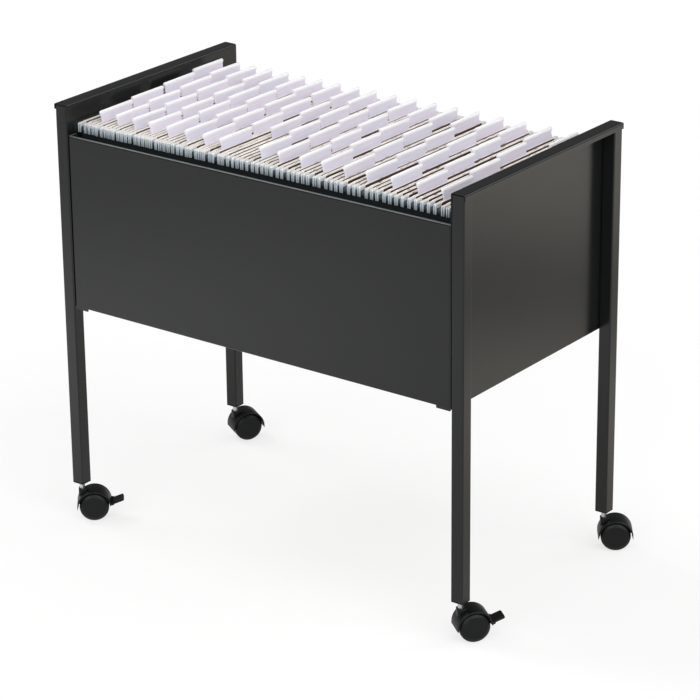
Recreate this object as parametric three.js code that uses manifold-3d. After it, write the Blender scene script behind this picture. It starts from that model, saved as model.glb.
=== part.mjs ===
// Mobile file cart: a folded-steel frame on four twin-wheel casters, filled with hanging files.
// Millimetres, +Z up, floor at z = 0. X runs along the cart and Y from its front to its back.
import * as THREE from 'three';
import { mergeVertices } from 'three/addons/utils/BufferGeometryUtils.js';
import Module from 'manifold-3d';

const wasm = await Module();
wasm.setup();

// Frame
const FRAME_LENGTH = 720; // over the legs, along X
const FRAME_DEPTH = 392; // over the legs, along Y
const FRAME_TOP = 660; // floor to the top of the end caps
const LEG_SIDE = 20;
const LEG_WALL = 1.5;
const LEG_CORNER = 2;
const SHEET = 1.2; // steel sheet of the panels
const FOLD_RADIUS = 2.6; // outside of a fold
const FIT = 0.3; // gap between pieces that are fastened or seated together
const CAP_GAP = 0.8; // cap lip to the outside of the legs
const CAP_LIP = 9;

// Front and rear panels
const PANEL_DROP = 46; // cap top to panel top
const PANEL_HEIGHT = 265;
const PANEL_RECESS = 1; // behind the outside of the legs
const PANEL_RETURN = 12; // fold under the bottom edge
const END_FLANGE = 18;
const EAR_LENGTH = 24;
const EAR_DROP = 3;
const HEM_WIDTH = 6; // top edge of the front and rear panel, folded back on itself
const CHANNEL_DROP = 14; // floor of the channel behind the hem, below the panel's top edge
const RAIL_SPACING = 330; // between the two rails that the file hooks hang on
const RAIL_HEIGHT = 9;

// Panel screws
const SCREW_RADIUS = 2;
const SCREW_LENGTH = 10;
const SCREW_HEAD_RADIUS = 3.8;
const SCREW_HEAD_HEIGHT = 2.6;
const SCREW_INSET = 45; // from the panel's top and bottom edges
const HOLE_CLEARANCE = 0.25;

// Hanging files
const FILE_COUNT = 75;
const FILES_PER_PACK = 5;
const FILE_THICKNESS = 5;
const FILE_HEIGHT = 240; // bar top to folder bottom
const FILE_END_GAP = 2; // outer files to the end panels
const FILE_SPREAD = 0.45; // how much looser the files stand at the right end
const FILE_WITHOUT_TAB = 35;
const FOLDER_GAP = 3; // folder edge to the rail
const HOOK_LENGTH = 9; // beyond the rail
const HOOK_SLOT = 1.5; // hook slot to each side of the rail
const HOOK_LIFT = 0.5; // hook tip above the panel's top edge
const BAR_ABOVE_RAIL = 3;
const SLEEVE_RISE = 2.7; // top of the folder above the bar's hooks
const TAB_COUNT = 4; // tab places across a file
const TAB_LENGTH = 70;
const TAB_SPACING = 81;
const TAB_SHIFT = 1.5; // the row of tabs stands this far to the rear of the middle
const TAB_HEIGHT = 20.5;
const BINDING_DROP = 26; // the joined part of a pack lies this far below the bar tops
const BINDING_INSET = 10; // and this far in from the folder edges

// Casters
const CASTER_HEIGHT = 60; // floor to the leg ends
const CASTER_TRAIL = 17.5; // swivel axis to wheel axis
const WHEEL_RADIUS = 22.5;
const WHEEL_WIDTH = 13;
const WHEEL_BEVEL = 3;
const WHEEL_WALL = 3;
const WHEEL_FACETS = 28;
const AXLE_RADIUS = 3;
const RUNNING_GAP = 0.15; // round a turning shaft
const HOOD_GAP = 1.3; // wheel tread to hood
const HOOD_WALL = 2.2;
const HOOD_WEB = 8; // plate between the two wheels
const HOOD_TIP_OUTER = 6; // degrees that the hood's tips reach below the axle
const HOOD_TIP_INNER = 8; // degrees above the axle where the tips start to taper
const WEB_DEPTH = 9; // web below the axle
const WHEEL_SIDE_GAP = 0.5;
const STEM_RADIUS = 4;
const STEM_IN_HOOD = 6;
const PIN_RADIUS = 2.4; // thin end of the stem, between the wheels
const PIN_LENGTH = 12;
const STEM_IN_LEG = 30;
const COLLAR_RADIUS = 5.4;
const COLLAR_HEIGHT = 1.5;
const BOSS_TOP = 49.5;
const BOSS_FRONT = 5.5; // ahead of the swivel axis
const BOSS_BACK = 8;
const BOSS_WIDTH = 14;
const SOCKET_HEIGHT = 34;
const SOCKET_RIM = 1.6;

// Brake lever on the two front casters
const LEVER_WIDTH = 20;
const LEVER_THICKNESS = 3.6;
const LEVER_REACH = 17.5; // pivot to tip
const LEVER_RISE = 20; // degrees above level when the brake is off
const LEVER_NOSE = 5.4;
const LEVER_NOSE_ANGLE = 206; // where the nose points when the brake is off, in degrees
const PIVOT_RADIUS = 1.5;
const PIVOT_GAP = 2; // pivot to the outside of the hood
const PIVOT_RISE = 3.5; // pivot above the wheel axis
const LUG_THICKNESS = 2.6;
const LUG_RADIUS = 3.2;
const STUB_LENGTH = 2; // pivot stub in each lug

// Which way each caster trails from its stem, in degrees from +X
const SWIVEL = { front_left: 40, front_right: 51, rear_left: 58, rear_right: 36 };

const ROUND_SEGMENTS = 20;
const SCREW_SEGMENTS = 12;
const ARCH_SEGMENTS = 10;
const FOLD_SEGMENTS = 2;
const X_AXIS = new THREE.Vector3(1, 0, 0);
const Y_AXIS = new THREE.Vector3(0, 1, 0);
const Z_AXIS = new THREE.Vector3(0, 0, 1);

// Places that several pieces share
const legCentreX = (FRAME_LENGTH - LEG_SIDE) / 2;
const legCentreY = (FRAME_DEPTH - LEG_SIDE) / 2;
const webOuter = FRAME_LENGTH / 2 - LEG_SIDE - FIT;
const webInner = webOuter - SHEET;
const panelHalf = webInner - FIT;
const panelTop = FRAME_TOP - PANEL_DROP;
const panelBottom = panelTop - PANEL_HEIGHT;
const panelFace = -FRAME_DEPTH / 2 + PANEL_RECESS;
const railTop = panelTop + RAIL_HEIGHT;
const barTop = railTop + FIT + BAR_ABOVE_RAIL;
const screwHeights = [panelBottom + SCREW_INSET, panelTop - SCREW_INSET];
const tubeInside = LEG_SIDE - 2 * LEG_WALL;
const tubeBottom = CASTER_HEIGHT + SOCKET_RIM + FIT;
const tubeTop = FRAME_TOP - FOLD_RADIUS; // clear of the inside of the cap folds
const hoodInner = WHEEL_RADIUS / Math.cos(Math.PI / WHEEL_FACETS) + HOOD_GAP;
const hoodOuter = hoodInner + HOOD_WALL;
const wheelInnerFace = HOOD_WEB / 2 + WHEEL_SIDE_GAP;
const wheelOuterFace = wheelInnerFace + WHEEL_WIDTH;
const pivotX = CASTER_TRAIL + hoodOuter + PIVOT_GAP;
const pivotZ = WHEEL_RADIUS + PIVOT_RISE;
const corners = ['front_left', 'front_right', 'rear_left', 'rear_right'].map((name) => ({
  name,
  sideX: name.endsWith('left') ? -1 : 1,
  sideY: name.startsWith('front') ? -1 : 1,
}));

const finishes = {
  paint: { color: 0x35373a, roughness: 0.45, metalness: 0.1 },
  zinc: { color: 0xc3c8d2, roughness: 0.35, metalness: 1 },
  nylon: { color: 0x232526, roughness: 0.6, metalness: 0 },
  card: { color: 0xd9d2cc, roughness: 0.8, metalness: 0 },
};

function addPiece(parent, name, geometry, finish) {
  const mesh = new THREE.Mesh(geometry, new THREE.MeshStandardMaterial(finishes[finish]));
  mesh.name = name;
  parent.add(mesh);
  return mesh;
}

// A closed geometry as a solid that can be joined and cut.
function toSolid(geometry) {
  const bare = geometry.clone();
  bare.deleteAttribute('normal');
  bare.deleteAttribute('uv');
  const merged = mergeVertices(bare, 1e-4);
  const corner = merged.index.array;
  const kept = [];
  for (let i = 0; i < corner.length; i += 3) {
    const [a, b, c] = [corner[i], corner[i + 1], corner[i + 2]];
    if (a !== b && b !== c && c !== a) kept.push(a, b, c);
  }
  const vertProperties = new Float32Array(merged.attributes.position.array);
  const triVerts = new Uint32Array(kept);
  return new wasm.Manifold(new wasm.Mesh({ numProp: 3, vertProperties, triVerts }));
}

function toGeometry(solid) {
  const mesh = solid.getMesh();
  const geometry = new THREE.BufferGeometry();
  geometry.setAttribute('position', new THREE.BufferAttribute(mesh.vertProperties, 3));
  geometry.setIndex(new THREE.BufferAttribute(mesh.triVerts, 1));
  return geometry;
}

function joined(geometries) {
  const solids = geometries.map(toSolid);
  return solids.reduce((whole, solid) => whole.add(solid));
}

function drilled(solid, cutters) {
  return cutters.reduce((rest, cutter) => rest.subtract(toSolid(cutter)), solid);
}

// The shape's x and y become the named axes, and its depth runs along the third axis.
function extrude(shape, depth, curveSegments) {
  return new THREE.ExtrudeGeometry(shape, { depth, bevelEnabled: false, curveSegments });
}

function extrudeAlongX(shape, from, to, curveSegments = FOLD_SEGMENTS) {
  const geometry = extrude(shape, to - from, curveSegments);
  geometry.applyMatrix4(new THREE.Matrix4().makeBasis(Y_AXIS, Z_AXIS, X_AXIS));
  return geometry.translate(from, 0, 0);
}

function extrudeAlongY(shape, from, to, curveSegments = FOLD_SEGMENTS) {
  const geometry = extrude(shape, to - from, curveSegments);
  geometry.applyMatrix4(new THREE.Matrix4().makeBasis(X_AXIS, Z_AXIS, Y_AXIS.clone().negate()));
  return geometry.translate(0, to, 0);
}

function extrudeAlongZ(shape, from, to, curveSegments = FOLD_SEGMENTS) {
  return extrude(shape, to - from, curveSegments).translate(0, 0, from);
}

function box(low, high) {
  const size = high.map((value, i) => value - low[i]);
  const centre = high.map((value, i) => (value + low[i]) / 2);
  return new THREE.BoxGeometry(...size).translate(...centre);
}

function rodAlongX(radius, from, to, y, z) {
  const rod = new THREE.CylinderGeometry(radius, radius, to - from, SCREW_SEGMENTS);
  return rod.rotateZ(Math.PI / 2).translate((from + to) / 2, y, z);
}

function rodAlongY(radius, from, to, x, z, segments = ROUND_SEGMENTS) {
  const rod = new THREE.CylinderGeometry(radius, radius, to - from, segments);
  return rod.translate(x, (from + to) / 2, z);
}

function rodAlongZ(radius, from, to) {
  const rod = new THREE.CylinderGeometry(radius, radius, to - from, ROUND_SEGMENTS);
  return rod.rotateX(Math.PI / 2).translate(0, 0, (from + to) / 2);
}

function polygon(points) {
  return new THREE.Shape(points.map(([x, y]) => new THREE.Vector2(x, y)));
}

function squareShape(side, corner) {
  const h = side / 2;
  const shape = new THREE.Shape();
  shape.absarc(h - corner, h - corner, corner, 0, Math.PI / 2);
  shape.absarc(-h + corner, h - corner, corner, Math.PI / 2, Math.PI);
  shape.absarc(-h + corner, -h + corner, corner, Math.PI, 1.5 * Math.PI);
  shape.absarc(h - corner, -h + corner, corner, 1.5 * Math.PI, 2 * Math.PI);
  return shape;
}

// A solid turned about Z, from a profile of [radius, height] that starts and ends on the axis.
function turned(profile, segments) {
  const points = profile.map(([radius, height]) => new THREE.Vector2(radius, height));
  return new THREE.LatheGeometry(points, segments).rotateX(Math.PI / 2);
}

// Legs: square tube with two screw holes in the wall that faces along the cart.
function legGeometry({ sideX }) {
  const section = squareShape(LEG_SIDE, LEG_CORNER);
  const h = tubeInside / 2;
  section.holes.push(polygon([[-h, -h], [-h, h], [h, h], [h, -h]]));
  const tube = toSolid(extrudeAlongZ(section, tubeBottom, tubeTop));
  const wallFrom = tubeInside / 2 - LEG_WALL;
  const wallTo = LEG_SIDE / 2 + LEG_WALL;
  const [from, to] = sideX < 0 ? [wallFrom, wallTo] : [-wallTo, -wallFrom];
  const holes = screwHeights.map((z) => rodAlongX(SCREW_RADIUS + HOLE_CLEARANCE, from, to, 0, z));
  return toGeometry(drilled(tube, holes));
}

// Right end panel: web inside the legs, top flange over the leg tops and a lip down their outside.
function endPanelGeometry() {
  const lipInner = FRAME_LENGTH / 2 + CAP_GAP;
  const lipOuter = lipInner + SHEET;
  const inside = FOLD_RADIUS - SHEET;
  const under = FRAME_TOP - SHEET;
  const section = new THREE.Shape();
  section.moveTo(webInner, panelBottom);
  section.lineTo(webOuter, panelBottom);
  section.absarc(webOuter + inside, under - inside, inside, Math.PI, Math.PI / 2, true);
  section.absarc(lipInner - inside, under - inside, inside, Math.PI / 2, 0, true);
  section.lineTo(lipInner, FRAME_TOP - CAP_LIP);
  section.lineTo(lipOuter, FRAME_TOP - CAP_LIP);
  section.absarc(lipOuter - FOLD_RADIUS, FRAME_TOP - FOLD_RADIUS, FOLD_RADIUS, 0, Math.PI / 2);
  section.absarc(webInner + FOLD_RADIUS, FRAME_TOP - FOLD_RADIUS, FOLD_RADIUS, Math.PI / 2, Math.PI);
  const sheet = toSolid(extrudeAlongY(section, -FRAME_DEPTH / 2, FRAME_DEPTH / 2));
  const holes = [];
  for (const y of [-legCentreY, legCentreY]) {
    for (const z of screwHeights) {
      holes.push(rodAlongX(SCREW_RADIUS + HOLE_CLEARANCE, webInner - SHEET, webOuter + SHEET, y, z));
    }
  }
  return toGeometry(drilled(sheet, holes));
}

// Front panel: face, hemmed top edge, channel, upturned rail and bottom return in one fold, with end
// flanges and ears.
function panelGeometry() {
  const inside = FOLD_RADIUS - SHEET;
  const back = panelFace + SHEET;
  const hemBack = panelFace + HEM_WIDTH;
  const hemInside = hemBack - SHEET;
  const channelTop = panelTop - CHANNEL_DROP;
  const railFront = -RAIL_SPACING / 2 - SHEET / 2;
  const railBack = railFront + SHEET;
  const section = new THREE.Shape();
  section.moveTo(panelFace + PANEL_RETURN, panelBottom);
  section.lineTo(panelFace + PANEL_RETURN, panelBottom + SHEET);
  section.absarc(back + inside, panelBottom + SHEET + inside, inside, 1.5 * Math.PI, Math.PI, true);
  section.absarc(back + inside, panelTop - SHEET - inside, inside, Math.PI, Math.PI / 2, true);
  section.absarc(hemInside - inside, panelTop - SHEET - inside, inside, Math.PI / 2, 0, true);
  section.lineTo(hemInside, channelTop - SHEET);
  section.lineTo(railBack, channelTop - SHEET);
  section.lineTo(railBack, railTop);
  section.lineTo(railFront, railTop);
  section.lineTo(railFront, channelTop);
  section.lineTo(hemBack, channelTop);
  section.absarc(hemBack - FOLD_RADIUS, panelTop - FOLD_RADIUS, FOLD_RADIUS, 0, Math.PI / 2);
  section.absarc(panelFace + FOLD_RADIUS, panelTop - FOLD_RADIUS, FOLD_RADIUS, Math.PI / 2, Math.PI);
  section.absarc(panelFace + FOLD_RADIUS, panelBottom + FOLD_RADIUS, FOLD_RADIUS, Math.PI, 1.5 * Math.PI);
  const pieces = [extrudeAlongX(section, -panelHalf, panelHalf)];
  const holes = [];
  for (const side of [-1, 1]) {
    const [flangeFrom, flangeTo] = [panelHalf - SHEET, panelHalf].map((x) => side * x).sort((a, b) => a - b);
    const [earFrom, earTo] = [panelHalf - EAR_LENGTH, panelHalf].map((x) => side * x).sort((a, b) => a - b);
    const flangeEnd = panelFace + END_FLANGE;
    pieces.push(box([flangeFrom, panelFace + SHEET / 2, panelBottom + SHEET / 2],
      [flangeTo, flangeEnd, panelTop - SHEET / 2]));
    pieces.push(box([earFrom, panelFace, panelBottom - EAR_DROP],
      [earTo, back, panelBottom + 2 * FOLD_RADIUS]));
    const [holeFrom, holeTo] = [flangeFrom - SHEET, flangeTo + SHEET];
    for (const z of screwHeights) {
      holes.push(rodAlongX(SCREW_RADIUS + HOLE_CLEARANCE, holeFrom, holeTo, -legCentreY, z));
    }
  }
  return toGeometry(drilled(joined(pieces), holes));
}

// Screw with its head towards -X and its tip towards +X, with the seat of the head at x = 0.
function screwGeometry() {
  const profile = [
    [0, -SCREW_HEAD_HEIGHT],
    [SCREW_HEAD_RADIUS * 0.7, -SCREW_HEAD_HEIGHT],
    [SCREW_HEAD_RADIUS, -SCREW_HEAD_HEIGHT * 0.55],
    [SCREW_HEAD_RADIUS, 0],
    [SCREW_RADIUS, 0],
    [SCREW_RADIUS, SCREW_LENGTH],
    [0, SCREW_LENGTH],
  ];
  return turned(profile, SCREW_SEGMENTS).rotateY(Math.PI / 2);
}

// Socket: a plug in the leg's open end, with a rim under the tube and a bore for the stem.
function socketGeometry() {
  const half = tubeInside / 2 - FIT;
  const rim = extrudeAlongZ(squareShape(LEG_SIDE, LEG_CORNER), 0, SOCKET_RIM);
  const plug = box([-half, -half, SOCKET_RIM / 2], [half, half, SOCKET_HEIGHT]);
  const bore = rodAlongZ(STEM_RADIUS + FIT, -SOCKET_RIM, SOCKET_HEIGHT + SOCKET_RIM);
  return toGeometry(drilled(joined([rim, plug]), [bore]));
}

// Stem: a steel pin that the hood turns on, with a collar under the leg.
function stemGeometry() {
  const shoulder = BOSS_TOP - STEM_IN_HOOD;
  const collarTop = CASTER_HEIGHT - FIT;
  const top = CASTER_HEIGHT + STEM_IN_LEG;
  const tip = STEM_RADIUS / 4;
  const profile = [
    [0, shoulder - PIN_LENGTH],
    [PIN_RADIUS, shoulder - PIN_LENGTH],
    [PIN_RADIUS, shoulder],
    [STEM_RADIUS, shoulder],
    [STEM_RADIUS, collarTop - COLLAR_HEIGHT],
    [COLLAR_RADIUS, collarTop - COLLAR_HEIGHT],
    [COLLAR_RADIUS, collarTop],
    [STEM_RADIUS, collarTop],
    [STEM_RADIUS, top - tip],
    [STEM_RADIUS - tip, top],
    [0, top],
  ];
  return turned(profile, ROUND_SEGMENTS);
}

// Hood: an arch over both wheels with pointed tips, a web between them and a boss for the stem.
function hoodGeometry(hasBrake) {
  const outerTip = THREE.MathUtils.degToRad(HOOD_TIP_OUTER);
  const innerTip = THREE.MathUtils.degToRad(HOOD_TIP_INNER);
  const archShape = new THREE.Shape();
  archShape.absarc(CASTER_TRAIL, WHEEL_RADIUS, hoodOuter, -outerTip, Math.PI + outerTip);
  archShape.absarc(CASTER_TRAIL, WHEEL_RADIUS, hoodInner, Math.PI - innerTip, innerTip, true);
  const arch = extrudeAlongY(archShape, -wheelOuterFace, wheelOuterFace, ARCH_SEGMENTS);
  const webRadius = hoodInner + HOOD_WALL / 2;
  const webShape = new THREE.Shape();
  webShape.absarc(CASTER_TRAIL, WHEEL_RADIUS, webRadius, innerTip, Math.PI - innerTip);
  webShape.lineTo(CASTER_TRAIL - 2 * AXLE_RADIUS, WHEEL_RADIUS - WEB_DEPTH);
  webShape.lineTo(CASTER_TRAIL + 2 * AXLE_RADIUS, WHEEL_RADIUS - WEB_DEPTH);
  const web = extrudeAlongY(webShape, -HOOD_WEB / 2, HOOD_WEB / 2, ARCH_SEGMENTS / 2);
  const [bossStart, bossEnd] = [-BOSS_FRONT, BOSS_BACK].map((x) => Math.acos((x - CASTER_TRAIL) / webRadius));
  const bossShape = new THREE.Shape();
  bossShape.absarc(CASTER_TRAIL, WHEEL_RADIUS, webRadius, bossStart, bossEnd, true);
  bossShape.lineTo(BOSS_BACK, BOSS_TOP);
  bossShape.lineTo(-BOSS_FRONT, BOSS_TOP);
  const boss = extrudeAlongY(bossShape, -BOSS_WIDTH / 2, BOSS_WIDTH / 2);
  const shoulder = BOSS_TOP - STEM_IN_HOOD - FIT;
  const stemHole = rodAlongZ(STEM_RADIUS + RUNNING_GAP, shoulder, BOSS_TOP + STEM_IN_HOOD);
  const pinHole = rodAlongZ(PIN_RADIUS + RUNNING_GAP, shoulder - PIN_LENGTH, BOSS_TOP);
  const axleHole = rodAlongY(AXLE_RADIUS + RUNNING_GAP, -HOOD_WEB, HOOD_WEB, CASTER_TRAIL, WHEEL_RADIUS);
  let hood = drilled(joined([arch, web, boss]), [axleHole, stemHole, pinHole]);
  if (hasBrake) {
    const notchHalf = LEVER_WIDTH / 2 + FIT;
    const notch = box([CASTER_TRAIL + hoodInner - 2 * HOOD_WALL, -notchHalf, 0],
      [pivotX + LUG_RADIUS, notchHalf, pivotZ + LUG_RADIUS]);
    hood = hood.subtract(toSolid(notch));
    for (const side of [-1, 1]) {
      const lugEnds = [notchHalf, notchHalf + LUG_THICKNESS].map((y) => side * y).sort((a, b) => a - b);
      const lugShape = new THREE.Shape();
      lugShape.absarc(pivotX, pivotZ, LUG_RADIUS, -Math.PI / 2, Math.PI / 2);
      lugShape.lineTo(CASTER_TRAIL + hoodInner + HOOD_WALL / 4, pivotZ + LUG_RADIUS);
      lugShape.lineTo(CASTER_TRAIL + hoodInner + HOOD_WALL / 4, pivotZ - LUG_RADIUS);
      hood = hood.add(toSolid(extrudeAlongY(lugShape, ...lugEnds, SCREW_SEGMENTS / 2)));
    }
    hood = hood.subtract(toSolid(rodAlongY(PIVOT_RADIUS + RUNNING_GAP, -2 * LEVER_WIDTH, 2 * LEVER_WIDTH,
      pivotX, pivotZ, SCREW_SEGMENTS)));
  }
  return toGeometry(hood);
}

// Wheel on the +Y side: closed outer face with a bevelled rim, and a bore for the axle from the inside.
function wheelGeometry() {
  const radius = WHEEL_RADIUS / Math.cos(Math.PI / WHEEL_FACETS);
  const bore = AXLE_RADIUS + RUNNING_GAP;
  const boreEnd = wheelOuterFace - WHEEL_WALL;
  const profile = [
    [0, boreEnd],
    [bore, boreEnd],
    [bore, wheelInnerFace],
    [radius, wheelInnerFace],
    [radius, wheelOuterFace - WHEEL_BEVEL],
    [radius - WHEEL_BEVEL, wheelOuterFace],
    [0, wheelOuterFace],
  ];
  const points = profile.map(([r, y]) => new THREE.Vector2(r, y));
  return new THREE.LatheGeometry(points, WHEEL_FACETS, Math.PI / WHEEL_FACETS);
}

// Brake lever about its pivot: a flat pedal, a nose that meets the treads and a stub in each lug.
function leverGeometry() {
  const half = LEVER_THICKNESS / 2;
  const pedalShape = new THREE.Shape();
  pedalShape.absarc(0, 0, half, Math.PI / 2, 1.5 * Math.PI);
  pedalShape.lineTo(LEVER_REACH, -half);
  pedalShape.lineTo(LEVER_REACH, half / 2);
  pedalShape.lineTo(LEVER_REACH - half, half);
  const pedal = extrudeAlongY(pedalShape, -LEVER_WIDTH / 2, LEVER_WIDTH / 2, SCREW_SEGMENTS / 2);
  pedal.rotateY(-THREE.MathUtils.degToRad(LEVER_RISE));
  const noseShape = new THREE.Shape();
  noseShape.absarc(0, 0, half * 0.8, Math.PI / 2, 1.5 * Math.PI, true);
  noseShape.absarc(half - LEVER_NOSE, 0, half * 0.8, 1.5 * Math.PI, Math.PI / 2, true);
  const nose = extrudeAlongY(noseShape, -LEVER_WIDTH / 2, LEVER_WIDTH / 2, SCREW_SEGMENTS / 2);
  nose.rotateY(-THREE.MathUtils.degToRad(LEVER_NOSE_ANGLE - 180));
  const stubEnd = LEVER_WIDTH / 2 + FIT + STUB_LENGTH;
  const stubs = rodAlongY(PIVOT_RADIUS, -stubEnd, stubEnd, 0, 0, SCREW_SEGMENTS);
  return toGeometry(joined([pedal, nose, stubs]));
}

// One hanging file seen along the cart: folder, bar with a hook at each end, and its index tab.
function fileShape(number) {
  const folder = RAIL_SPACING / 2 - SHEET / 2 - FOLDER_GAP;
  const slot = RAIL_SPACING / 2 + SHEET / 2 + HOOK_SLOT;
  const hookEnd = RAIL_SPACING / 2 + HOOK_LENGTH;
  const slotTop = railTop + FIT;
  const tip = panelTop + HOOK_LIFT;
  const bottom = barTop - FILE_HEIGHT;
  const sleeveTop = barTop + SLEEVE_RISE;
  const tabCentre = TAB_SHIFT + ((TAB_COUNT - 1) / 2 - (number % TAB_COUNT)) * TAB_SPACING;
  const [tabStart, tabEnd] = [tabCentre - TAB_LENGTH / 2, tabCentre + TAB_LENGTH / 2];
  const tabTop = barTop + TAB_HEIGHT;
  const tab = [[tabEnd, sleeveTop], [tabEnd, tabTop], [tabStart, tabTop], [tabStart, sleeveTop]];
  return polygon([
    [-folder, bottom], [folder, bottom],
    [folder, slotTop], [slot, slotTop], [slot, tip], [hookEnd, tip], [hookEnd, barTop],
    [folder, barTop], [folder, sleeveTop],
    ...(number === FILE_WITHOUT_TAB ? [] : tab),
    [-folder, sleeveTop], [-folder, barTop],
    [-hookEnd, barTop], [-hookEnd, tip], [-slot, tip], [-slot, slotTop], [-folder, slotTop],
  ]);
}

// Where each file stands along the cart: evenly at the left and looser towards the right.
function filePlaces() {
  const room = 2 * (webInner - FILE_END_GAP);
  const shares = Array.from({ length: FILE_COUNT }, (_, i) => 1 + FILE_SPREAD * (i / (FILE_COUNT - 1)) ** 2);
  const total = shares.reduce((sum, share) => sum + share, 0);
  let edge = -room / 2;
  return shares.map((share) => {
    const pitch = (room * share) / total;
    edge += pitch;
    return edge - pitch / 2;
  });
}

function packGeometry(firstFile, places) {
  const own = places.slice(firstFile, firstFile + FILES_PER_PACK);
  const half = FILE_THICKNESS / 2;
  const pieces = own.map((x, i) => extrudeAlongX(fileShape(firstFile + i), x - half, x + half));
  const folder = RAIL_SPACING / 2 - SHEET / 2 - FOLDER_GAP - BINDING_INSET;
  const bindingBottom = barTop - FILE_HEIGHT + BINDING_INSET;
  pieces.push(box([own[0], -folder, bindingBottom], [own[own.length - 1], folder, barTop - BINDING_DROP]));
  return toGeometry(joined(pieces));
}

const cart = new THREE.Group();

for (const corner of corners) {
  const leg = addPiece(cart, `${corner.name}_leg`, legGeometry(corner), 'paint');
  leg.position.set(corner.sideX * legCentreX, corner.sideY * legCentreY, 0);
}

const rightPanel = addPiece(cart, 'right_end_panel', endPanelGeometry(), 'paint');
const leftPanel = addPiece(cart, 'left_end_panel', rightPanel.geometry.clone(), 'paint');
leftPanel.rotation.z = Math.PI;

const frontPanel = addPiece(cart, 'front_panel', panelGeometry(), 'paint');
const rearPanel = addPiece(cart, 'rear_panel', frontPanel.geometry.clone(), 'paint');
rearPanel.rotation.z = Math.PI;

for (const { name, sideX, sideY } of corners) {
  screwHeights.forEach((z, i) => {
    const screw = addPiece(cart, `${name}_screw_${i === 0 ? 'lower' : 'upper'}`, screwGeometry(), 'zinc');
    const seat = panelHalf - SHEET - FIT;
    screw.position.set(sideX * seat, sideY * legCentreY, z);
    screw.rotation.z = sideX < 0 ? Math.PI : 0;
  });
}

for (const { name, sideX, sideY } of corners) {
  const hasBrake = sideY < 0;
  const seat = new THREE.Group();
  seat.position.set(sideX * legCentreX, sideY * legCentreY, 0);
  cart.add(seat);
  const socket = addPiece(seat, `${name}_socket`, socketGeometry(), 'nylon');
  socket.position.z = CASTER_HEIGHT;
  addPiece(seat, `${name}_stem`, stemGeometry(), 'zinc');
  const caster = new THREE.Group();
  caster.rotation.z = THREE.MathUtils.degToRad(SWIVEL[name]);
  seat.add(caster);
  addPiece(caster, `${name}_hood`, hoodGeometry(hasBrake), 'nylon');
  const axleEnd = wheelOuterFace - WHEEL_WALL - FIT;
  const axle = rodAlongY(AXLE_RADIUS, -axleEnd, axleEnd, CASTER_TRAIL, WHEEL_RADIUS);
  addPiece(caster, `${name}_axle`, axle, 'zinc');
  for (const [side, turn] of [['a', 0], ['b', Math.PI]]) {
    const wheel = addPiece(caster, `${name}_wheel_${side}`, wheelGeometry(), 'nylon');
    wheel.position.set(CASTER_TRAIL, 0, WHEEL_RADIUS);
    wheel.rotation.z = turn;
  }
  if (hasBrake) {
    const lever = addPiece(caster, `${name}_brake_lever`, leverGeometry(), 'nylon');
    lever.position.set(pivotX, 0, pivotZ);
  }
}

const places = filePlaces();
for (let first = 0; first < FILE_COUNT; first += FILES_PER_PACK) {
  const number = String(first / FILES_PER_PACK + 1).padStart(2, '0');
  addPiece(cart, `file_pack_${number}`, packGeometry(first, places), 'card');
}

// The origin is the middle of the floor print, with the casters as they trail.
const bounds = new THREE.Box3().setFromObject(cart, true);
const middle = bounds.getCenter(new THREE.Vector3());
cart.position.set(-middle.x, -middle.y, -bounds.min.z);

export default cart;
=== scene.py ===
import random
from math import cos, hypot, pi, radians, sin

import bmesh
import bpy
from mathutils import Matrix, Vector


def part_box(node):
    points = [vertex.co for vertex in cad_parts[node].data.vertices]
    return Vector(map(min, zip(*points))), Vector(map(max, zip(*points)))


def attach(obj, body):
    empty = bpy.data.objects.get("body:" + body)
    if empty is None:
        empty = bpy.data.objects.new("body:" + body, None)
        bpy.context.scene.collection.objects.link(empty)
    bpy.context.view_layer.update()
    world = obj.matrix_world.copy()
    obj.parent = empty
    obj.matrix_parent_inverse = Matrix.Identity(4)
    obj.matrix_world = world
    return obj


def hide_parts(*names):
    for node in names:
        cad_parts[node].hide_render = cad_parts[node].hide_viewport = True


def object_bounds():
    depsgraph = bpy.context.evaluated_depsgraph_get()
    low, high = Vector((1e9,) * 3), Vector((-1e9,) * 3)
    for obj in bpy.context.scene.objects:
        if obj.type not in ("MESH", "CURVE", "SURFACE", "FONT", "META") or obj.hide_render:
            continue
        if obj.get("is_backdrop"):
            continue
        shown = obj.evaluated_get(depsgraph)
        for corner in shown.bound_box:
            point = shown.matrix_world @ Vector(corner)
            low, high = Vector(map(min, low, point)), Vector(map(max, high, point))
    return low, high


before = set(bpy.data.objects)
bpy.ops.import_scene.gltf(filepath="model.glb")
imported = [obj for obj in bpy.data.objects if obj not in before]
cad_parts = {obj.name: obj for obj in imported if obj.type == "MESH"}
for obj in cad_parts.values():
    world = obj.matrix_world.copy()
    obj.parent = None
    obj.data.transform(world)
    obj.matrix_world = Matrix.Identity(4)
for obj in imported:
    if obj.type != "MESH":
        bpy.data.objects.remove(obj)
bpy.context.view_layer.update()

MM = 0.001
CORNERS = ("front_left", "front_right", "rear_left", "rear_right")
SIDES = (-1, 1)
# In metres: places closer than the first count as one, and points closer than the second are merged
CLOSE, MERGED = 2e-5, 1e-6

# The cart's own middle in the shared frame, half way between its legs, on the floor
leg_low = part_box("front_left_leg")[0]
leg_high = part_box("rear_right_leg")[1]
CART = Vector(((leg_low.x + leg_high.x) / 2, (leg_low.y + leg_high.y) / 2, 0))

# Sizes in millimetres and angles in degrees; the main ones are those of the solids

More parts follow.
